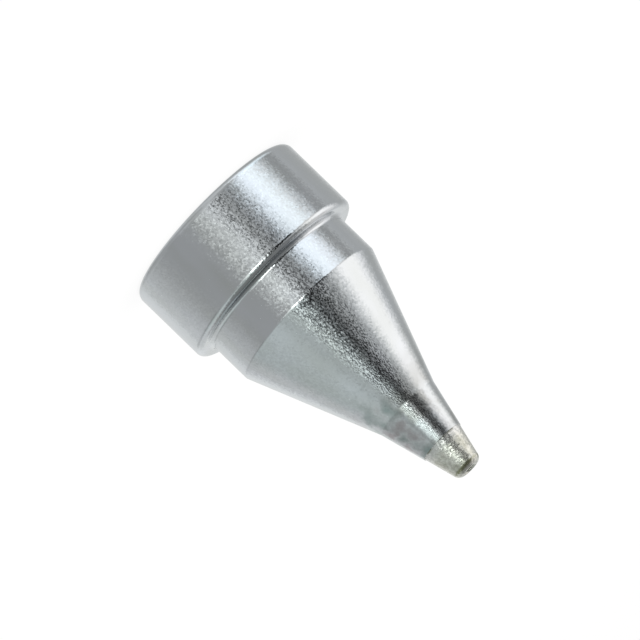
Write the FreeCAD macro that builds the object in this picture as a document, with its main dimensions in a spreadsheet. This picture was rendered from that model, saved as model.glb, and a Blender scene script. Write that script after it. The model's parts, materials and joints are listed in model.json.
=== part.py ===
# Desoldering nozzle, turned from one bar of copper and plated.
# Its axis is Z: the rear rim stands on the plane z = 0, and the tip points up. All sizes are in millimetres.

import FreeCAD, Part
import os
import Sketcher

doc = FreeCAD.newDocument("DesolderingNozzle")

# Driving sizes: alias, value and what it measures

size_list = [
    ("collar_diameter", 12.5, "outside of the wide rear collar"),
    ("collar_length", 5.3, "rear rim to the shoulder"),
    ("rear_edge_radius", 0.45, "rounding of the collar at the rear rim"),
    ("front_edge_radius", 0.36, "rounding of the collar at the shoulder"),
    ("shoulder_width", 0.975, "step from the collar in to the plain boss in front of it"),
    ("boss_length", 2.75, "shoulder to the start of the taper"),
    ("root_radius", 0.26, "fillet where the boss meets the shoulder"),
    ("boss_edge_radius", 0.3, "rounding of the edge where the steep taper starts"),
    ("taper_length", 8.1, "steep taper, from the boss to the waist"),
    ("waist_diameter", 4.36, "where the steep taper meets the nose"),
    ("waist_radius", 0.5, "slight fillet at the waist"),
    ("nose_length", 2.85, "plated part of the slimmer nose taper"),
    ("nose_diameter", 2.97, "plated nose where its plating ends"),
    ("plating_thickness", 0.04, "step down from the plating to the tinned tip"),
    ("tip_length", 2.3, "tinned tip, from the end of the plating"),
    ("tip_diameter", 1.76, "tip end, before its edge is rounded"),
    ("tip_edge_radius", 0.48, "rounding of the tip's outer edge"),
    ("socket_diameter", 8.0, "rear socket that takes the heater's nose"),
    ("socket_depth", 4.6, "rear rim to the socket's floor"),
    ("socket_lead_in", 0.3, "chamfer at the socket's mouth"),
    ("channel_diameter", 2.4, "suction channel drilled from the socket"),
    ("channel_length", 11.4, "channel's straight wall, from the socket's floor"),
    ("drill_point_angle", 118.0, "cone that ends the suction channel, in degrees"),
    ("bore_diameter", 0.8, "fine bore through the tip"),
]

sizes = doc.addObject("Spreadsheet::Sheet", "Sizes")
for row, (alias, value, meaning) in enumerate(size_list, start=1):
    sizes.set(f"A{row}", meaning)
    sizes.set(f"B{row}", str(value))
    sizes.setAlias(f"B{row}", alias)
doc.recompute()

# How near a ring edge's radius and height have to be to the sizes that it is looked up by
ring_tolerance = 1e-4

# How a constraint names its points: by a line's start or end, a circle's centre, or the sketch's own origin
line_start = 1
line_end = 2
circle_centre = 3
sketch_origin = (-1, 1)

nozzle = doc.addObject("PartDesign::Body", "NozzleBody")
nozzle.Label = "nozzle_body"


def origin_plane(body, role):
    for feature in body.Origin.OriginFeatures:
        if feature.Role == role:
            return feature
    raise ValueError(f"no origin feature with the role {role}")


def sketch_on(body, role, name):
    sketch = body.newObject("Sketcher::SketchObject", name)
    sketch.AttachmentSupport = [(origin_plane(body, role), "")]
    sketch.MapMode = "FlatFace"
    return sketch


def bind(feature, **expressions):
    for property_name, expression in expressions.items():
        feature.setExpression(property_name, expression)


def size_rule(sketch, name, constraint, expression):
    index = sketch.addConstraint(constraint)
    sketch.renameConstraint(index, name)
    sketch.setExpression(f"Constraints.{name}", expression)


def circle_sketch(body, name, size_name):
    diameter = getattr(sizes, size_name)
    centre = FreeCAD.Vector(0, 0, 0)
    axis = FreeCAD.Vector(0, 0, 1)
    sketch = sketch_on(body, "XY_Plane", name)
    circle = sketch.addGeometry(Part.Circle(centre, axis, diameter / 2))
    sketch.addConstraint(Sketcher.Constraint("Coincident", circle, circle_centre, *sketch_origin))
    size_rule(sketch, size_name, Sketcher.Constraint("Diameter", circle, diameter), f"Sizes.{size_name}")
    doc.recompute()
    return sketch


def ring_edges(feature, radius, height):
    found = []
    for index, edge in enumerate(feature.Shape.Edges, start=1):
        curve = edge.Curve
        if not isinstance(curve, Part.Circle):
            continue
        if abs(curve.Radius - radius) < ring_tolerance and abs(curve.Center.z - height) < ring_tolerance:
            found.append(f"Edge{index}")
    if not found:
        raise ValueError(f"no ring edge of radius {radius} at height {height}")
    return found


def round_ring(body, name, radius, height, size_name):
    base = body.Tip
    fillet = body.newObject("PartDesign::Fillet", name)
    fillet.Base = (base, ring_edges(base, radius, height))
    fillet.Radius = getattr(sizes, size_name)
    bind(fillet, Radius=f"Sizes.{size_name}")
    doc.recompute()


# Radii and heights along the axis, worked out from the sheet

collar_radius = sizes.collar_diameter / 2
boss_radius = collar_radius - sizes.shoulder_width
half_waist = sizes.waist_diameter / 2
nose_radius = sizes.nose_diameter / 2
tinned_radius = nose_radius - sizes.plating_thickness
tip_radius = sizes.tip_diameter / 2
shoulder_height = sizes.collar_length
boss_height = shoulder_height + sizes.boss_length
waist_height = boss_height + sizes.taper_length
nose_height = waist_height + sizes.nose_length
tip_height = nose_height + sizes.tip_length

# Turned outline: half of the lengthwise section, from the rear rim's centre round to the tip's centre.
# Each corner has its radius and its height, and a straight line runs from it to the next.

corners = {
    "rim_centre": (0.0, 0.0),
    "rim_edge": (collar_radius, 0.0),
    "shoulder_edge": (collar_radius, shoulder_height),
    "boss_root": (boss_radius, shoulder_height),
    "boss_edge": (boss_radius, boss_height),
    "waist": (half_waist, waist_height),
    "plating_end": (nose_radius, nose_height),
    "tinned_start": (tinned_radius, nose_height),
    "tip_edge": (tip_radius, tip_height),
    "tip_centre": (0.0, tip_height),
}
radius_rules = {
    "rim_edge": "Sizes.collar_diameter / 2",
    "boss_root": "Sizes.collar_diameter / 2 - Sizes.shoulder_width",
    "waist": "Sizes.waist_diameter / 2",
    "plating_end": "Sizes.nose_diameter / 2",
    "tinned_start": "Sizes.nose_diameter / 2 - Sizes.plating_thickness",
    "tip_edge": "Sizes.tip_diameter / 2",
}
rise_rules = {
    ("rim_edge", "shoulder_edge"): "Sizes.collar_length",
    ("boss_root", "boss_edge"): "Sizes.boss_length",
    ("boss_edge", "waist"): "Sizes.taper_length",
    ("waist", "plating_end"): "Sizes.nose_length",
    ("tinned_start", "tip_edge"): "Sizes.tip_length",
}

outline = sketch_on(nozzle, "XZ_Plane", "TurnedOutline")
corner_names = list(corners)
following = dict(zip(corner_names, corner_names[1:] + corner_names[:1]))
line_from = {}
for name in corner_names:
    start = FreeCAD.Vector(*corners[name], 0)
    end = FreeCAD.Vector(*corners[following[name]], 0)
    line_from[name] = outline.addGeometry(Part.LineSegment(start, end))

for name in corner_names:
    line = line_from[name]
    next_line = line_from[following[name]]
    outline.addConstraint(Sketcher.Constraint("Coincident", line, line_end, next_line, line_start))
    radius, height = corners[name]
    next_radius, next_height = corners[following[name]]
    if height == next_height:
        outline.addConstraint(Sketcher.Constraint("Horizontal", line))
    if radius == next_radius:
        outline.addConstraint(Sketcher.Constraint("Vertical", line))
first_line = line_from["rim_centre"]
outline.addConstraint(Sketcher.Constraint("Coincident", first_line, line_start, *sketch_origin))
for name, expression in radius_rules.items():
    corner_radius = corners[name][0]
    rule = Sketcher.Constraint("DistanceX", *sketch_origin, line_from[name], line_start, corner_radius)
    size_rule(outline, f"{name}_radius", rule, expression)
for (lower, upper), expression in rise_rules.items():
    rise = corners[upper][1] - corners[lower][1]
    rule = Sketcher.Constraint("DistanceY", line_from[lower], line_start, line_from[upper], line_start, rise)
    size_rule(outline, f"{lower}_rise", rule, expression)
doc.recompute()

turning = nozzle.newObject("PartDesign::Revolution", "Turning")
turning.Profile = outline
turning.ReferenceAxis = (outline, ["V_Axis"])
turning.Angle = 360.0
doc.recompute()

# Rounded edges, and the fillets at the root of the boss and at the waist

round_ring(nozzle, "RearEdge", collar_radius, 0.0, "rear_edge_radius")
round_ring(nozzle, "FrontEdge", collar_radius, shoulder_height, "front_edge_radius")
round_ring(nozzle, "BossRoot", boss_radius, shoulder_height, "root_radius")
round_ring(nozzle, "BossEdge", boss_radius, boss_height, "boss_edge_radius")
round_ring(nozzle, "Waist", half_waist, waist_height, "waist_radius")
round_ring(nozzle, "TipEdge", tip_radius, tip_height, "tip_edge_radius")
turned_volume = nozzle.Tip.Shape.Volume

# Rear socket with the suction channel in its floor. The channel ends in the cone of its drill.

channel_circle = circle_sketch(nozzle, "ChannelCircle", "channel_diameter")
channel = nozzle.newObject("PartDesign::Hole", "SocketAndChannel")
channel.Profile = channel_circle
doc.recompute()
channel.Reversed = True
channel.Threaded = False
channel.DepthType = "Dimension"
channel.HoleCutType = "Counterbore"
channel.DrillPoint = "Angled"
channel.DrillForDepth = False
bind(
    channel,
    Diameter="Sizes.channel_diameter",
    Depth="Sizes.socket_depth + Sizes.channel_length",
    DrillPointAngle="Sizes.drill_point_angle",
    HoleCutDiameter="Sizes.socket_diameter",
    HoleCutDepth="Sizes.socket_depth",
)
doc.recompute()
drilled_volume = channel.Shape.Volume

lead_in = nozzle.newObject("PartDesign::Chamfer", "SocketLeadIn")
lead_in.Base = (channel, ring_edges(channel, sizes.socket_diameter / 2, 0.0))
lead_in.Size = sizes.socket_lead_in
bind(lead_in, Size="Sizes.socket_lead_in")
doc.recompute()
chamfered_volume = lead_in.Shape.Volume

# Fine bore, from the tip's end down into the channel

bore_circle = circle_sketch(nozzle, "BoreCircle", "bore_diameter")
bore = nozzle.newObject("PartDesign::Pocket", "TipBore")
bore.Profile = bore_circle
bore.Type = "ThroughAll"
bore.Reversed = True
doc.recompute()

# Checks, then the file of the piece

for item in doc.Objects:
    if "Invalid" in item.State or "Error" in item.State:
        raise RuntimeError(f"{item.Label} failed: {item.State}")
if not turned_volume > drilled_volume > chamfered_volume > bore.Shape.Volume:
    raise RuntimeError("the socket, its lead-in or the bore cut nothing")
if nozzle.Shape.isNull() or not nozzle.Shape.isValid():
    raise RuntimeError("nozzle_body has no valid shape")

os.makedirs("parts", exist_ok=True)
nozzle.Shape.exportStep(f"parts/{nozzle.Label}.step")
print(f"{nozzle.Label}: {nozzle.Shape.Volume:.2f} mm3, height {tip_height:.2f} mm")
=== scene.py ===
import bpy
import json
import math
from mathutils import Matrix, Vector


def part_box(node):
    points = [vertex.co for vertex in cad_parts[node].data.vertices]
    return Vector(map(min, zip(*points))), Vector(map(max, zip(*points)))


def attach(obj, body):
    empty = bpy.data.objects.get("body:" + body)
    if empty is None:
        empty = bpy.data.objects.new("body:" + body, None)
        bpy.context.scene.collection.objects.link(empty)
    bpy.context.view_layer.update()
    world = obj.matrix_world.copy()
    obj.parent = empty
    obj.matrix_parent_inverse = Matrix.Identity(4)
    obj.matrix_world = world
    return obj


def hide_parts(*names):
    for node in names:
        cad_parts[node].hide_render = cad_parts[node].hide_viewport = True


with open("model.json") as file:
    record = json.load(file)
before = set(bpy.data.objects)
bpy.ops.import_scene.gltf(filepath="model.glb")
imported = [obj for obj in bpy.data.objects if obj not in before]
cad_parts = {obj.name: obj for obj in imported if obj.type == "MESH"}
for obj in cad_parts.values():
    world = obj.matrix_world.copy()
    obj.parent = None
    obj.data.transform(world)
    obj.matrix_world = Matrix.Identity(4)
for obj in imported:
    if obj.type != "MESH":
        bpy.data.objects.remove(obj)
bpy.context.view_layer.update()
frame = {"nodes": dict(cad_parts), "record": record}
print("frame loaded:", ", ".join(frame["nodes"]))

mm = 0.001              # everything below is given in millimetres and turned to metres with this
wholeTurn = 2 * math.pi
noisePatch = 0.5        # how wide a noise texture's patches are, at a scale of 1
ringSpacing = 0.314     # how far apart a wave texture's rings are, at a scale of 1


# Small helpers

def hexToLinear(code):
    # an sRGB colour such as "CACDD1", as the renderer's linear one
    channels = [int(code[start:start + 2], 16) / 255 for start in (0, 2, 4)]
    linear = [c / 12.92 if c <= 0.04045 else ((c + 0.055) / 1.055) ** 2.4 for c in channels]
    return (*linear, 1.0)


def addNode(tree, kind, inputs=None, **settings):
    # each input takes either a value or another node's output, which is linked to it
    node = tree.nodes.new(kind)
    for name, value in settings.items():
        setattr(node, name, value)
    for name, value in (inputs or {}).items():
        if isinstance(value, bpy.types.NodeSocket):
            tree.links.new(value, node.inputs[name])
        else:
            node.inputs[name].default_value = value
    return node


def newMaterial(name):
    material = bpy.data.materials.new(name)
    material.use_nodes = True
    material.node_tree.nodes.clear()
    return material, material.node_tree


def directionAt(azimuth, elevation):
    # azimuth is counted from the side that the photograph shows, towards +X
    a, e = math.radians(azimuth), math.radians(elevation)
    return Vector((math.sin(a) * math.cos(e), -math.cos(a) * math.cos(e), math.sin(e)))


# Camera: a long lens, low over the tip's side, rolled so that the tip points down to the right

cameraPlan = {
    "elevation": 10.0,          # degrees above the collar's plane
    "roll": 134.05,             # degrees
    "lens": 800.0,
    "sensor": 36.0,
    "frameWidth": 640 * 0.05836,    # what the picture's 640 pixels span at the nozzle
    "aim": (-0.152, 0.0, 8.777),
    "nearest": 0.01,            # metres, as is the next
    "furthest": 10.0,
}


def setCamera(plan):
    data = bpy.data.cameras.new("camera")
    data.lens = plan["lens"]
    data.sensor_width = plan["sensor"]
    data.clip_start = plan["nearest"]
    data.clip_end = plan["furthest"]
    camera = bpy.data.objects.new("camera", data)
    bpy.context.scene.collection.objects.link(camera)
    back = directionAt(0.0, plan["elevation"])
    distance = plan["lens"] / plan["sensor"] * plan["frameWidth"] * mm
    camera.location = Vector(plan["aim"]) * mm + back * distance
    upright = (-back).to_track_quat("-Z", "Y").to_matrix()
    roll = Matrix.Rotation(math.radians(plan["roll"]), 3, "Z")
    camera.rotation_mode = "QUATERNION"
    camera.rotation_quaternion = (upright @ roll).to_quaternion()
    bpy.context.scene.camera = camera


setCamera(cameraPlan)
print("camera set")


# Materials of the nozzle

plating = {
    "tint": "CACDD1",
    "smudgeTint": "C3C6C7",
    "roughness": 0.06,
    "smudgeRoughness": 0.1,
    "smudgeSize": 0.8,
    "smudgeLength": 4.0,        # times the size, along the nozzle
    "smudgeShare": (0.35, 0.65),    # noise where a smudge starts, and where it is full, as in those below
    "grain": 0.1,
    "grainTilt": 2.2,           # degrees
    "heatTint": "B0B1B0",
    "heatPatch": 0.8,
    "heatShare": (0.42, 0.6),
    "heatFrom": 13.6,           # height where the heat's tint starts, and where it is full
    "heatFull": 16.2,
    "paintedReflectionTint": "96A3A3",       # painted reflection of the surroundings' colour, in two tones, on the side towards +X
    "paintedReflectionShare": (0.46, 0.64),
    "paintedReflectionSecondTint": "B1ADAF",
    "paintedReflectionSecondShare": (0.46, 0.34),
    "paintedReflectionStart": 0.3,           # how far from the axis it starts, and where it is full
    "paintedReflectionFull": 0.9,
}


def grainNormal(tree, place, size, tilt):
    # the shading normal, tilted a little and at random on each grain of the surface
    grains = addNode(tree, "ShaderNodeTexVoronoi", {"Vector": place, "Scale": 1 / (size * mm)})
    reach = math.tan(math.radians(tilt))
    lean = addNode(tree, "ShaderNodeVectorMath", {
        0: grains.outputs["Color"], 1: [2 * reach] * 3, 2: [-reach] * 3}, operation="MULTIPLY_ADD")
    upright = addNode(tree, "ShaderNodeNewGeometry").outputs["Normal"]
    leaning = addNode(tree, "ShaderNodeVectorMath", {0: upright, 1: lean.outputs[0]}, operation="ADD")
    return addNode(tree, "ShaderNodeVectorMath", {0: leaning.outputs[0]}, operation="NORMALIZE").outputs[0]


def makeSatinChrome(look):
    # Bright chrome on copper that was blasted with fine beads: a soft satin mirror, with a fine sparkle
    # where its reflections turn from light to dark. The pits are drawn about three times as coarse as they
    # are, because finer ones wouldn't show. Towards the tip the heat has left grey patches and, on the side
    # towards +X, a painted reflection that is blue-green in some places and faintly pink in others.
    material, tree = newMaterial("satinChromeOnBlastedCopper")
    place = addNode(tree, "ShaderNodeTexCoord").outputs["Object"]
    drawnOut = addNode(tree, "ShaderNodeMapping", {
        "Vector": place, "Scale": (1.0, 1.0, 1 / look["smudgeLength"])}).outputs[0]
    smudges = addNode(tree, "ShaderNodeTexNoise", {
        "Vector": drawnOut, "Scale": noisePatch / (look["smudgeSize"] * mm), "Detail": 2.0, "Roughness": 0.5})
    start, full = look["smudgeShare"]
    smudge = addNode(tree, "ShaderNodeMapRange", {
        "Value": smudges.outputs["Fac"], "From Min": start, "From Max": full}).outputs["Result"]
    tint = addNode(tree, "ShaderNodeMix", {
        0: smudge, 6: hexToLinear(look["tint"]), 7: hexToLinear(look["smudgeTint"])},
        data_type="RGBA")
    patches = addNode(tree, "ShaderNodeTexNoise", {
        "Vector": place, "Scale": noisePatch / (look["heatPatch"] * mm), "Detail": 2.0, "Roughness": 0.6})
    start, full = look["heatShare"]
    patch = addNode(tree, "ShaderNodeMapRange", {
        "Value": patches.outputs["Fac"], "From Min": start, "From Max": full}).outputs["Result"]
    spot = addNode(tree, "ShaderNodeSeparateXYZ", {"Vector": place}).outputs
    warmth = addNode(tree, "ShaderNodeMapRange", {
        "Value": spot["Z"], "From Min": look["heatFrom"] * mm,
        "From Max": look["heatFull"] * mm}).outputs["Result"]
    heat = addNode(tree, "ShaderNodeMath", {0: warmth, 1: patch}, operation="MULTIPLY").outputs[0]
    colour = addNode(tree, "ShaderNodeMix", {
        0: heat, 6: tint.outputs[2], 7: hexToLinear(look["heatTint"])}, data_type="RGBA").outputs[2]
    # painted reflection on the side towards +X near the tip: blue-green in some patches, faintly pink in
    # others
    side = addNode(tree, "ShaderNodeMapRange", {
        "Value": spot["X"], "From Min": look["paintedReflectionStart"] * mm, "From Max": look["paintedReflectionFull"] * mm,
        "To Max": warmth}).outputs["Result"]
    for paintedReflection in ("paintedReflection", "paintedReflectionSecond"):
        start, full = look[paintedReflection + "Share"]
        share = addNode(tree, "ShaderNodeMapRange", {
            "Value": patches.outputs["Fac"], "From Min": start, "From Max": full,
            "To Max": side}).outputs["Result"]
        colour = addNode(tree, "ShaderNodeMix", {
            0: share, 6: colour, 7: hexToLinear(look[paintedReflection + "Tint"])}, data_type="RGBA").outputs[2]
    roughness = addNode(tree, "ShaderNodeMapRange", {
        "Value": smudge, "To Min": look["roughness"], "To Max": look["smudgeRoughness"]})
    surface = addNode(tree, "ShaderNodeBsdfPrincipled", {
        "Base Color": colour, "Metallic": 1.0, "Roughness": roughness.outputs["Result"],
        "Normal": grainNormal(tree, place, look["grain"], look["grainTilt"])})
    addNode(tree, "ShaderNodeOutputMaterial", {"Surface": surface.outputs["BSDF"]})
    return material


tin = {
    "tint": "D7D6CE",
    "freshTint": "D2D2D2",      # clean solder, next to the chrome
    "freshLength": 0.7,
    "freshMost": 0.9,           # share of the clean tint at the chrome
    "oxideTint": "AEAEA1",
    "oxidePatch": 0.35,
    "oxideShare": (0.45, 0.7),  # noise where the oxide starts, and where it is full, as in those below
    # painted shade in the corner above the step where the solder starts, in patches
    "stepShadeTint": "7C7D70",
    "stepShadeWidth": 0.14,
    "stepShadeShare": (0.46, 0.58),
    "edgeTint": "85856E",       # a darker olive band round the rounded edge of the end, in patches
    "edgeLow": (0.42, 0.3),     # how far below the end it starts, and where it is full
    "edgeHigh": (0.08, 0.2),    # how far below the end it stops, and where it is still full
    "edgeShare": (0.4, 0.52),
    "roughness": 0.32,
    "crystal": 0.11,
    "crystalTilt": 7.0,         # degrees
}


def makeTinnedSolder(look, coatStart, tipHeight):
    # Solder that was wiped on hot: a warm grey, lumpy skin with fine crystals, clean next to the chrome and
    # with olive oxide in its hollows, and a darker olive band in patches on the edge of the end. A dark line
    # of painted shade is put in the corner above the step, where it meets the chrome.
    material, tree = newMaterial("wipedTinLeadSolder")
    place = addNode(tree, "ShaderNodeTexCoord").outputs["Object"]
    patches = addNode(tree, "ShaderNodeTexNoise", {
        "Vector": place, "Scale": noisePatch / (look["oxidePatch"] * mm), "Detail": 4.0,
        "Roughness": 0.65}).outputs["Fac"]
    start, full = look["oxideShare"]
    oxide = addNode(tree, "ShaderNodeMapRange", {
        "Value": patches, "From Min": start, "From Max": full}).outputs["Result"]
    colour = addNode(tree, "ShaderNodeMix", {
        0: oxide, 6: hexToLinear(look["tint"]), 7: hexToLinear(look["oxideTint"])},
        data_type="RGBA").outputs[2]
    height = addNode(tree, "ShaderNodeSeparateXYZ", {"Vector": place}).outputs["Z"]
    fresh = addNode(tree, "ShaderNodeMapRange", {
        "Value": height, "From Min": coatStart * mm, "From Max": (coatStart + look["freshLength"]) * mm,
        "To Min": look["freshMost"], "To Max": 0.0}).outputs["Result"]
    colour = addNode(tree, "ShaderNodeMix", {
        0: fresh, 6: colour, 7: hexToLinear(look["freshTint"])}, data_type="RGBA").outputs[2]
    # painted shade: a dark line in the corner above the step, where the solder meets the chrome, in patches
    seam = addNode(tree, "ShaderNodeMapRange", {
        "Value": height, "From Min": coatStart * mm, "From Max": (coatStart + look["stepShadeWidth"]) * mm,
        "To Min": 1.0, "To Max": 0.0}).outputs["Result"]
    start, full = look["stepShadeShare"]
    stepShadePatches = addNode(tree, "ShaderNodeMapRange", {
        "Value": patches, "From Min": start, "From Max": full}).outputs["Result"]
    stepShade = addNode(tree, "ShaderNodeMath", {0: seam, 1: stepShadePatches}, operation="MULTIPLY").outputs[0]
    colour = addNode(tree, "ShaderNodeMix", {
        0: stepShade, 6: colour, 7: hexToLinear(look["stepShadeTint"])}, data_type="RGBA").outputs[2]
    below = addNode(tree, "ShaderNodeMath", {0: tipHeight * mm, 1: height}, operation="SUBTRACT").outputs[0]
    start, full = look["edgeLow"]
    edgeLow = addNode(tree, "ShaderNodeMapRange", {
        "Value": below, "From Min": start * mm, "From Max": full * mm}).outputs["Result"]
    start, full = look["edgeHigh"]
    edgeHigh = addNode(tree, "ShaderNodeMapRange", {
        "Value": below, "From Min": start * mm, "From Max": full * mm}).outputs["Result"]
    edgeBand = addNode(tree, "ShaderNodeMath", {0: edgeLow, 1: edgeHigh}, operation="MULTIPLY").outputs[0]
    start, full = look["edgeShare"]
    edge = addNode(tree, "ShaderNodeMapRange", {
        "Value": patches, "From Min": start, "From Max": full, "To Max": edgeBand}).outputs["Result"]
    colour = addNode(tree, "ShaderNodeMix", {
        0: edge, 6: colour, 7: hexToLinear(look["edgeTint"])}, data_type="RGBA").outputs[2]
    surface = addNode(tree, "ShaderNodeBsdfPrincipled", {
        "Base Color": colour, "Metallic": 1.0, "Roughness": look["roughness"],
        "Normal": grainNormal(tree, place, look["crystal"], look["crystalTilt"])})
    addNode(tree, "ShaderNodeOutputMaterial", {"Surface": surface.outputs["BSDF"]})
    return material


bored = {
    "tint": "9A9994",
    "roughness": 0.42,
    "feed": 0.12,               # how far the tool moved on in each turn
    "feedDepth": 0.004,
}


def makeBoredPlating(look):
    # Plain plating on drilled and bored copper: duller than the outside, with the fine rings of the tool
    material, tree = newMaterial("dullPlatingOnBoredCopper")
    place = addNode(tree, "ShaderNodeTexCoord").outputs["Object"]
    rings = addNode(tree, "ShaderNodeTexWave", {
        "Vector": place, "Scale": ringSpacing / (look["feed"] * mm), "Distortion": 0.4},
        bands_direction="Z")
    bump = addNode(tree, "ShaderNodeBump", {
        "Height": rings.outputs["Fac"], "Strength": 1.0, "Distance": look["feedDepth"] * mm})
    surface = addNode(tree, "ShaderNodeBsdfPrincipled", {
        "Base Color": hexToLinear(look["tint"]), "Metallic": 1.0, "Roughness": look["roughness"],
        "Normal": bump.outputs["Normal"]})
    addNode(tree, "ShaderNodeOutputMaterial", {"Surface": surface.outputs["BSDF"]})
    return material


# The nozzle: one closed outline, turned about the axis

mounts = {mount["name"]: mount for mount in frame["record"]["mounts"]}
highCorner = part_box("nozzle_body")[1]

nozzle = {
    "collarRadius": highCorner.x / mm,
    "collarLength": mounts["shoulder"]["pos_m"][2] / mm,
    "rearRounding": 0.45,
    "frontRounding": 0.36,
    "bossRadius": mounts["boss"]["dims"]["r_mm"],
    "bossLength": 2.75,
    "rootRounding": 0.26,
    "taperLength": 8.1,
    "waistRadius": 2.18,
    "waistRounding": 0.5,
    "noseLength": 2.85,
    "noseRadius": 1.485,
    "coatStep": 0.04,
    "tipHeight": highCorner.z / mm,
    "tipRadius": 0.88,
    "tipRounding": 0.48,
    "boreRadius": mounts["tip_bore"]["dims"]["r_mm"],
    "channelRadius": 1.2,
    "channelLength": 11.4,
    "drillPoint": 118.0,        # degrees
    "socketRadius": mounts["heater_socket"]["dims"]["r_mm"],
    "socketDepth": 4.6,
    "leadIn": 0.3,
    "crispEdge": 0.04,          # rounding of the edges that look sharp
    "bossEdgeRounding": 0.3,
    "mouthRounding": 0.1,
    "wettedDepth": 0.6,         # how far the solder goes down the bore
    "segments": 240,
    "spacing": 0.6,             # between the points of a run, and between those of the solder
    "solderSpacing": 0.06,
    "endPoint": 0.025,          # a point this near each end of a run keeps its shading flat
    "arcStep": 7.5,             # degrees between the points of a rounding, at most
    "weld": 0.001,              # points that are nearer than this are joined where the turn closes
    "lumpDepth": 0.02,
    "lumpSize": 0.35,
    "lumpFade": 0.15,           # the solder's lumps fade in over this length
    "seed": 4,
}

finishes = {"chrome": 0, "solder": 1, "bored": 2}


def nozzleCorners(n):
    # radius, height, rounding, finish and point spacing of the run that starts at the corner
    bossEnd = n["collarLength"] + n["bossLength"]
    waist = bossEnd + n["taperLength"]
    coatStart = waist + n["noseLength"]
    channelEnd = n["socketDepth"] + n["channelLength"]
    drillDepth = (n["channelRadius"] - n["boreRadius"]) / math.tan(math.radians(n["drillPoint"] / 2))
    crisp = n["crispEdge"]
    stepRounding = n["coatStep"] / 3
    plain, fine = n["spacing"], n["solderSpacing"]
    return [
        (n["socketRadius"] + n["leadIn"], 0.0, crisp, "chrome", plain),
        (n["collarRadius"], 0.0, n["rearRounding"], "chrome", plain),
        (n["collarRadius"], n["collarLength"], n["frontRounding"], "chrome", plain),
        (n["bossRadius"], n["collarLength"], n["rootRounding"], "chrome", plain),
        (n["bossRadius"], bossEnd, n["bossEdgeRounding"], "chrome", plain),
        (n["waistRadius"], waist, n["waistRounding"], "chrome", plain),
        (n["noseRadius"], coatStart, stepRounding, "solder", fine),
        (n["noseRadius"] - n["coatStep"], coatStart, stepRounding, "solder", fine),
        (n["tipRadius"], n["tipHeight"], n["tipRounding"], "solder", fine),
        (n["boreRadius"], n["tipHeight"], n["mouthRounding"], "solder", fine),
        (n["boreRadius"], n["tipHeight"] - n["wettedDepth"], 0.0, "bored", plain),
        (n["boreRadius"], channelEnd + drillDepth, 0.0, "bored", plain),
        (n["channelRadius"], channelEnd, 0.0, "bored", plain),
        (n["channelRadius"], n["socketDepth"], crisp, "bored", plain),
        (n["socketRadius"], n["socketDepth"], crisp, "bored", plain),
        (n["socketRadius"], n["leadIn"], crisp, "chrome", plain),
    ]


def cornerArc(before, corner, after, rounding, arcStep):
    # points of the arc that rounds a corner and touches both of its runs
    if rounding == 0:
        return [corner]
    toBefore, toAfter = (before - corner).normalized(), (after - corner).normalized()
    halfAngle = toBefore.angle(toAfter) / 2
    bisector = (toBefore + toAfter).normalized()
    centre = corner + bisector * (rounding / math.sin(halfAngle))
    reach = rounding / math.tan(halfAngle)
    start, end = corner + toBefore * reach - centre, corner + toAfter * reach - centre
    sweep = end.angle_signed(start)
    steps = max(3, math.ceil(abs(math.degrees(sweep)) / arcStep))
    arc = []
    for step in range(steps + 1):
        arc.append(centre + Matrix.Rotation(sweep * step / steps, 2) @ start)
    return arc


def outlineMesh(n):
    corners = nozzleCorners(n)
    spots = [Vector((radius, height)) for radius, height, rounding, finish, spacing in corners]
    arcs = []
    for i, (radius, height, rounding, finish, spacing) in enumerate(corners):
        arcs.append(cornerArc(spots[i - 1], spots[i], spots[(i + 1) % len(spots)], rounding, n["arcStep"]))
    endPoint = n["endPoint"]
    points, runFinishes = [], []
    for i, (radius, height, rounding, finish, spacing) in enumerate(corners):
        start, end = arcs[i][-1], arcs[(i + 1) % len(arcs)][0]
        length = (end - start).length
        places = [endPoint / length, 1 - endPoint / length] if length > 3 * endPoint else []
        count = math.ceil(length / spacing)
        places += [step / count for step in range(1, count)]
        run = [start.lerp(end, place) for place in sorted(places)]
        points += arcs[i] + run
        runFinishes += [finishes[finish]] * (len(arcs[i]) + len(run))
    points.append(points[0])
    runFinishes.append(runFinishes[0])
    mesh = bpy.data.meshes.new("outline")
    mesh.from_pydata([(p.x * mm, 0.0, p.y * mm) for p in points], [], [])
    mesh.attributes.new("finish", "INT", "POINT").data.foreach_set("value", runFinishes)
    return mesh


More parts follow.
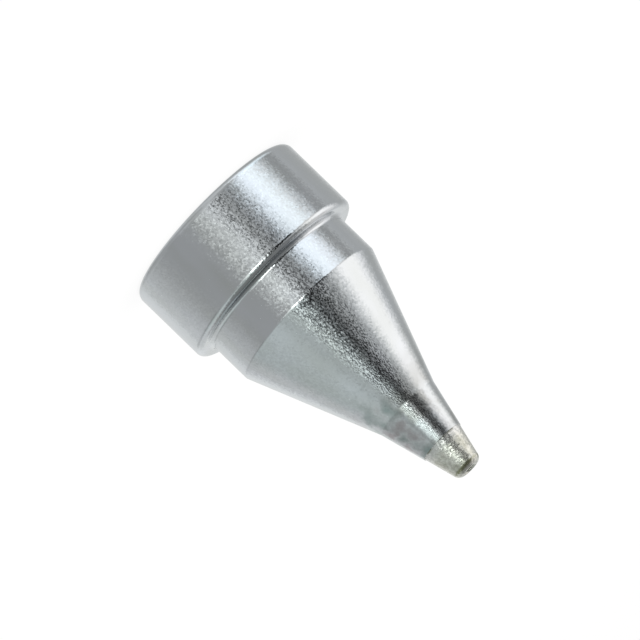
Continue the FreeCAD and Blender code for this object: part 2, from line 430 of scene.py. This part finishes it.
def buildTurningTree(finishMaterials):
    tree = bpy.data.node_groups.new("turnedNozzle", "GeometryNodeTree")
    for name, kind in {
        "Outline": "Geometry", "Segments": "Int", "Weld": "Float", "Solder start": "Float",
        "Lump depth": "Float", "Lump size": "Float", "Lump fade": "Float", "Seed": "Int",
    }.items():
        tree.interface.new_socket(name, in_out="INPUT", socket_type=f"NodeSocket{kind}")
    tree.interface.new_socket("Nozzle", in_out="OUTPUT", socket_type="NodeSocketGeometry")
    given = addNode(tree, "NodeGroupInput").outputs

    # a grid with one column for each step of the turn and one row for each point of the outline
    pointCount = addNode(tree, "GeometryNodeAttributeDomainSize", {
        "Geometry": given["Outline"]}, component="MESH").outputs["Point Count"]
    columnCount = addNode(tree, "FunctionNodeIntegerMath", {0: given["Segments"], 1: 1}, operation="ADD")
    grid = addNode(tree, "GeometryNodeMeshGrid", {
        "Vertices X": columnCount.outputs[0], "Vertices Y": pointCount}).outputs["Mesh"]
    index = addNode(tree, "GeometryNodeInputIndex").outputs[0]

    # each face takes the finish of the run that it lies on
    runCount = addNode(tree, "FunctionNodeIntegerMath", {0: pointCount, 1: 1}, operation="SUBTRACT")
    run = addNode(tree, "FunctionNodeIntegerMath", {0: index, 1: runCount.outputs[0]}, operation="MODULO")
    finishOf = addNode(tree, "GeometryNodeInputNamedAttribute", {
        "Name": "finish"}, data_type="INT").outputs[0]
    faceFinish = addNode(tree, "GeometryNodeSampleIndex", {
        "Geometry": given["Outline"], "Value": finishOf, "Index": run.outputs[0]},
        data_type="INT", domain="POINT").outputs[0]
    marked = addNode(tree, "GeometryNodeStoreNamedAttribute", {
        "Geometry": grid, "Name": "finish", "Value": faceFinish},
        data_type="INT", domain="FACE").outputs["Geometry"]

    # each point goes to its place on the outline, then round the axis
    place = addNode(tree, "GeometryNodeInputPosition").outputs[0]
    row = addNode(tree, "FunctionNodeIntegerMath", {0: index, 1: pointCount}, operation="MODULO")
    column = addNode(tree, "FunctionNodeIntegerMath", {0: index, 1: pointCount}, operation="DIVIDE_FLOOR")
    outlinePlace = addNode(tree, "GeometryNodeSampleIndex", {
        "Geometry": given["Outline"], "Value": place, "Index": row.outputs[0]},
        data_type="FLOAT_VECTOR", domain="POINT").outputs[0]
    share = addNode(tree, "ShaderNodeMath", {0: column.outputs[0], 1: given["Segments"]}, operation="DIVIDE")
    angle = addNode(tree, "ShaderNodeMath", {0: share.outputs[0], 1: wholeTurn}, operation="MULTIPLY")
    turned = addNode(tree, "ShaderNodeVectorRotate", {
        "Vector": outlinePlace, "Angle": angle.outputs[0]}, rotation_type="Z_AXIS").outputs[0]
    wrapped = addNode(tree, "GeometryNodeSetPosition", {
        "Geometry": marked, "Position": turned}).outputs["Geometry"]
    closed = addNode(tree, "GeometryNodeMergeByDistance", {
        "Geometry": wrapped, "Distance": given["Weld"]}).outputs["Geometry"]

    # the solder's skin sinks a little here and there, fading in from the line where it starts
    lumpScale = addNode(tree, "ShaderNodeMath", {0: noisePatch, 1: given["Lump size"]}, operation="DIVIDE")
    lumps = addNode(tree, "ShaderNodeTexNoise", {
        "Vector": place, "W": given["Seed"], "Scale": lumpScale.outputs[0],
        "Detail": 2.0, "Roughness": 0.6}, noise_dimensions="4D").outputs[0]
    height = addNode(tree, "ShaderNodeSeparateXYZ", {"Vector": place}).outputs["Z"]
    above = addNode(tree, "ShaderNodeMath", {0: height, 1: given["Solder start"]}, operation="SUBTRACT")
    fadeIn = addNode(tree, "ShaderNodeMapRange", {
        "Value": above.outputs[0], "From Min": 0.0, "From Max": given["Lump fade"]}).outputs[0]
    lumpShare = addNode(tree, "ShaderNodeMath", {0: lumps, 1: fadeIn}, operation="MULTIPLY")
    sink = addNode(tree, "ShaderNodeMath", {
        0: lumpShare.outputs[0], 1: given["Lump depth"]}, operation="MULTIPLY")
    inward = addNode(tree, "ShaderNodeMath", {0: sink.outputs[0], 1: -1.0}, operation="MULTIPLY")
    outward = addNode(tree, "GeometryNodeInputNormal").outputs[0]
    offset = addNode(tree, "ShaderNodeVectorMath", {
        0: outward, "Scale": inward.outputs[0]}, operation="SCALE").outputs[0]
    shaped = addNode(tree, "GeometryNodeSetPosition", {
        "Geometry": closed, "Offset": offset}).outputs["Geometry"]
    shaped = addNode(tree, "GeometryNodeSetShadeSmooth", {"Geometry": shaped}).outputs[0]
    shaped = addNode(tree, "GeometryNodeRealizeInstances", {"Geometry": shaped}).outputs[0]
    for name, material in finishMaterials.items():
        chosen = addNode(tree, "FunctionNodeCompare", {2: finishOf, 3: finishes[name]},
                         data_type="INT", operation="EQUAL").outputs[0]
        shaped = addNode(tree, "GeometryNodeSetMaterial", {
            "Geometry": shaped, "Selection": chosen, "Material": material}).outputs[0]
    addNode(tree, "NodeGroupOutput", {"Nozzle": shaped})
    return tree


def makeNozzle(n):
    corners = nozzleCorners(n)
    coatStart = next(height for radius, height, rounding, finish, spacing in corners if finish == "solder")
    tree = buildTurningTree({
        "chrome": makeSatinChrome(plating),
        "solder": makeTinnedSolder(tin, coatStart, n["tipHeight"]),
        "bored": makeBoredPlating(bored),
    })
    blank = bpy.data.objects.new("outline", outlineMesh(n))
    bpy.context.scene.collection.objects.link(blank)
    turning = blank.modifiers.new("turning", "NODES")
    turning.node_group = tree
    values = {
        "Segments": n["segments"], "Weld": n["weld"] * mm, "Solder start": coatStart * mm,
        "Lump depth": n["lumpDepth"] * mm, "Lump size": n["lumpSize"] * mm,
        "Lump fade": n["lumpFade"] * mm, "Seed": n["seed"],
    }
    for socket in tree.interface.items_tree:
        if socket.in_out == "INPUT" and socket.name in values:
            turning[socket.identifier] = values[socket.name]
    evaluated = blank.evaluated_get(bpy.context.evaluated_depsgraph_get())
    mesh = bpy.data.meshes.new_from_object(evaluated)
    mesh.name = "nozzle"
    blank.modifiers.remove(turning)
    bpy.data.objects.remove(blank)
    piece = bpy.data.objects.new("nozzle", mesh)
    bpy.context.scene.collection.objects.link(piece)
    return piece


nozzlePiece = makeNozzle(nozzle)
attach(nozzlePiece, "root")
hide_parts("nozzle_body")
print("nozzle turned:", len(nozzlePiece.data.polygons), "faces")


# Light: a round tent of soft panels and dark flags that only the metal sees, and plain light for the floor

tent = {
    "base": 0.76,
    "cast": (0.978, 1.0, 0.997),
    "lowest": 0.05,
    "radius": 0.2,              # metres
    "segments": 180,
    "rings": 90,
}
tentPanels = {
    # Where each one's middle is seen from the nozzle, its size and soft edge, all in degrees, its light
    # and, where there is one, the cast that it gives to the light. Flags and dark strips take light away.
    # The collar's wall shows what is 10 degrees down, the nose 17 up and the cone 32 up. The strips are
    # between them, so they show in the rounded edges alone, and the rear edge shows what is lower still.
    "keySoftbox": {
        "azimuth": -95, "elevation": 20, "wide": 45, "high": 115, "tilt": 50, "soft": 30, "light": 0.8,
        "cast": (1.04, 1.0, 0.985)},
    "lowSoftbox": {
        "azimuth": -70, "elevation": -20, "wide": 30, "high": 80, "tilt": -55, "soft": 25, "light": 0.65,
        "cast": (0.93, 1.0, 1.06)},
    "underSoftbox": {
        "azimuth": -69, "elevation": -38, "wide": 22, "high": 42, "tilt": 0, "soft": 15, "light": 0.55,
        "cast": (0.97, 1.0, 1.03)},
    "frontWindow": {
        "azimuth": 5, "elevation": 10, "wide": 35, "high": 35, "tilt": 15, "soft": 25, "light": 1.4,
        "cast": (0.985, 1.0, 0.975)},
    "brightStrip": {
        "azimuth": -1, "elevation": 5, "wide": 22, "high": 14, "tilt": 0, "soft": 8, "light": 3.0},
    "darkStrip": {
        "azimuth": -40, "elevation": 5, "wide": 22, "high": 16, "tilt": 0, "soft": 8, "light": -0.9},
    "rimFlag": {
        "azimuth": -34, "elevation": -33, "wide": 28, "high": 28, "tilt": 0, "soft": 10, "light": -0.22},
    "rimFill": {
        "azimuth": 12, "elevation": -36, "wide": 40, "high": 34, "tilt": 0, "soft": 16, "light": 0.13},
    "channelStrip": {
        "azimuth": 92, "elevation": 4, "wide": 50, "high": 8, "tilt": 0, "soft": 6, "light": -0.1},
    "backFill": {
        "azimuth": 130, "elevation": -5, "wide": 25, "high": 105, "tilt": -65, "soft": 55, "light": 0.3},
    "sideFill": {
        "azimuth": 118, "elevation": 0, "wide": 8, "high": 80, "tilt": 0, "soft": 26, "light": 0.08},
    "leftFlag": {
        "azimuth": -40, "elevation": 5, "wide": 45, "high": 135, "tilt": -70, "soft": 25, "light": -0.65},
    "backFlag": {
        "azimuth": -135, "elevation": -15, "wide": 50, "high": 135, "tilt": -5, "soft": 30, "light": -0.2},
    "rightFlag": {
        "azimuth": 60, "elevation": -3, "wide": 170, "high": 52, "tilt": 0, "soft": 30, "light": -0.3},
    "underFlag": {
        "azimuth": 65, "elevation": -52, "wide": 110, "high": 50, "tilt": 0, "soft": 25, "light": -0.25},
    "greenBounce": {
        "azimuth": 50, "elevation": 38, "wide": 110, "high": 60, "tilt": 0, "soft": 30, "light": 0.05,
        "cast": (0.945, 1.0, 0.985)},
    "topFlag": {
        "azimuth": 105, "elevation": 95, "wide": 90, "high": 110, "tilt": -90, "soft": 25, "light": -0.5},
}
louvre = {
    "left": -66, "right": 26,   # azimuths of its sides and elevations of its ends, in degrees
    "low": -32, "top": 60,
    "slats": 31,
    "steps": 24,                # faces along each slat
    "radius": 0.19,             # metres
    "contrast": 0.9,
    # where the slats differ most from the tent behind them, as a panel
    "azimuth": -20, "elevation": 22, "wide": 52, "high": 70, "tilt": -18, "soft": 26,
}


def panelShare(direction, panel):
    # 1 in the middle of a panel, falling to 0 over its soft edge
    middle = directionAt(panel["azimuth"], panel["elevation"])
    sideways = directionAt(panel["azimuth"] + 90, 0.0)
    upwards = sideways.cross(middle) * -1
    tilt = math.radians(panel["tilt"])
    across = sideways * math.cos(tilt) + upwards * math.sin(tilt)
    along = upwards * math.cos(tilt) - sideways * math.sin(tilt)
    ahead = direction.dot(middle)
    share = 1.0
    for axis, size in ((across, panel["wide"]), (along, panel["high"])):
        angle = abs(math.degrees(math.atan2(direction.dot(axis), ahead)))
        step = (size / 2 + panel["soft"] / 2 - angle) / panel["soft"]
        step = min(max(step, 0.0), 1.0)
        share *= step * step * (3 - 2 * step)
    return share


def tentColour(direction):
    # the tent's light as seen from the nozzle: all panels added up, in a colour that they tint by turns
    level = tent["base"]
    cast = Vector(tent["cast"])
    neutral = Vector((1.0, 1.0, 1.0))
    for panel in tentPanels.values():
        share = panelShare(direction, panel)
        level += panel["light"] * share
        cast *= neutral.lerp(Vector(panel.get("cast", neutral)), share)
    return cast * max(level, tent["lowest"])


def paintLight(mesh, colours):
    light = mesh.attributes.new("light", "FLOAT_COLOR", "POINT").data
    light.foreach_set("color", [channel for colour in colours for channel in (*colour, 1.0)])


def onlyInMirrors(thing):
    # seen by glossy rays alone, so that it lights nothing else and throws no shadow
    thing.visible_camera = False
    thing.visible_diffuse = False
    thing.visible_transmission = False
    thing.visible_shadow = False


def makeLitFabric():
    # White fabric lit from behind: an even glow, in the light that is painted on its points
    material, tree = newMaterial("litFabric")
    light = addNode(tree, "ShaderNodeAttribute", attribute_name="light").outputs["Color"]
    glow = addNode(tree, "ShaderNodeEmission", {"Color": light, "Strength": 1.0})
    addNode(tree, "ShaderNodeOutputMaterial", {"Surface": glow.outputs["Emission"]})
    material.cycles.emission_sampling = "NONE"
    return material


def makeTent(fabric, middle):
    bpy.ops.mesh.primitive_uv_sphere_add(
        segments=tent["segments"], ring_count=tent["rings"], radius=tent["radius"], location=middle)
    dome = bpy.context.object
    dome.name = "lightTent"
    paintLight(dome.data, [tentColour(vertex.co.normalized()) for vertex in dome.data.vertices])
    dome.data.materials.append(fabric)
    onlyInMirrors(dome)


def makeLouvre(fabric, middle):
    # Upright slats in front of the tent, lighter and darker by turns. Together they are as bright as the
    # tent behind them, and each grain of the metal shows one slat or the next, so it sparkles there.
    plan = louvre
    points, faces, colours = [], [], []
    width = (plan["right"] - plan["left"]) / plan["slats"]
    height = (plan["top"] - plan["low"]) / plan["steps"]
    for slat in range(plan["slats"]):
        sign = 1 if slat % 2 == 0 else -1
        for step in range(plan["steps"] + 1):
            for side in (0, 1):
                direction = directionAt(plan["left"] + (slat + side) * width, plan["low"] + step * height)
                points.append(direction * plan["radius"])
                change = sign * plan["contrast"] * panelShare(direction, plan)
                colours.append(tentColour(direction) * (1 + change))
                if step < plan["steps"] and side == 0:
                    first = len(points) - 1
                    faces.append((first, first + 1, first + 3, first + 2))
    mesh = bpy.data.meshes.new("louvre")
    mesh.from_pydata(points, [], faces)
    paintLight(mesh, colours)
    mesh.materials.append(fabric)
    slats = bpy.data.objects.new("louvre", mesh)
    slats.location = middle
    bpy.context.scene.collection.objects.link(slats)
    onlyInMirrors(slats)


def cleanViewShare(tree):
    # 1 for the rays of the camera, of mirrors and of glass, and 0 for all others
    rays = addNode(tree, "ShaderNodeLightPath").outputs
    seen = addNode(tree, "ShaderNodeMath", {
        0: rays["Is Camera Ray"], 1: rays["Is Glossy Ray"]}, operation="MAXIMUM").outputs[0]
    return addNode(tree, "ShaderNodeMath", {
        0: seen, 1: rays["Is Transmission Ray"]}, operation="MAXIMUM").outputs[0]


studio = {
    "worldLevel": 0.75,         # the light that falls from the white surroundings
    "floorRadius": 0.9,         # metres, as are the lamp's height and size
    "floorSides": 96,
    "floorTint": "F2F2F0",
    "floorOwnLight": 0.9,       # share of the floor that shows as clean white, whatever shades it
    "lampHeight": 0.4,
    "lampSize": 0.35,
    "lampPower": 1.2,           # watts
}


def makeWorld(plan):
    world = bpy.data.worlds.new("studioWorld")
    world.use_nodes = True
    tree = world.node_tree
    tree.nodes.clear()
    level = addNode(tree, "ShaderNodeMapRange", {
        "Value": cleanViewShare(tree), "To Min": plan["worldLevel"], "To Max": 1.0}).outputs[0]
    sky = addNode(tree, "ShaderNodeBackground", {"Color": (1, 1, 1, 1), "Strength": level})
    addNode(tree, "ShaderNodeOutputWorld", {"Surface": sky.outputs[0]})
    bpy.context.scene.world = world


def makeFloor(plan):
    bpy.ops.mesh.primitive_circle_add(
        vertices=plan["floorSides"], radius=plan["floorRadius"], fill_type="NGON")
    floor = bpy.context.object
    floor.name = "floor"
    # matt white card, which takes a soft shadow, and most of it shows as clean white
    material, tree = newMaterial("paleCard")
    card = addNode(tree, "ShaderNodeBsdfDiffuse", {"Color": hexToLinear(plan["floorTint"])})
    clean = addNode(tree, "ShaderNodeEmission", {"Color": (1, 1, 1, 1), "Strength": 1.0})
    share = addNode(tree, "ShaderNodeMath", {
        0: cleanViewShare(tree), 1: plan["floorOwnLight"]}, operation="MULTIPLY").outputs[0]
    surface = addNode(tree, "ShaderNodeMixShader", {
        0: share, 1: card.outputs[0], 2: clean.outputs[0]})
    addNode(tree, "ShaderNodeOutputMaterial", {"Surface": surface.outputs[0]})
    material.cycles.emission_sampling = "NONE"
    floor.data.materials.append(material)
    floor.visible_glossy = False    # the metal sees the tent's lower half in its place


def makeLamp(plan):
    data = bpy.data.lights.new("softLamp", "AREA")
    data.size = plan["lampSize"]
    data.energy = plan["lampPower"]
    lamp = bpy.data.objects.new("softLamp", data)
    lamp.location = (0, 0, plan["lampHeight"])
    lamp.visible_glossy = False
    bpy.context.scene.collection.objects.link(lamp)


litFabric = makeLitFabric()
tentMiddle = Vector((0, 0, nozzle["tipHeight"] / 2 * mm))
makeTent(litFabric, tentMiddle)
makeLouvre(litFabric, tentMiddle)
makeWorld(studio)
makeFloor(studio)
makeLamp(studio)
bpy.context.scene.view_settings.view_transform = "Standard"
print("tent, floor and lamp set")
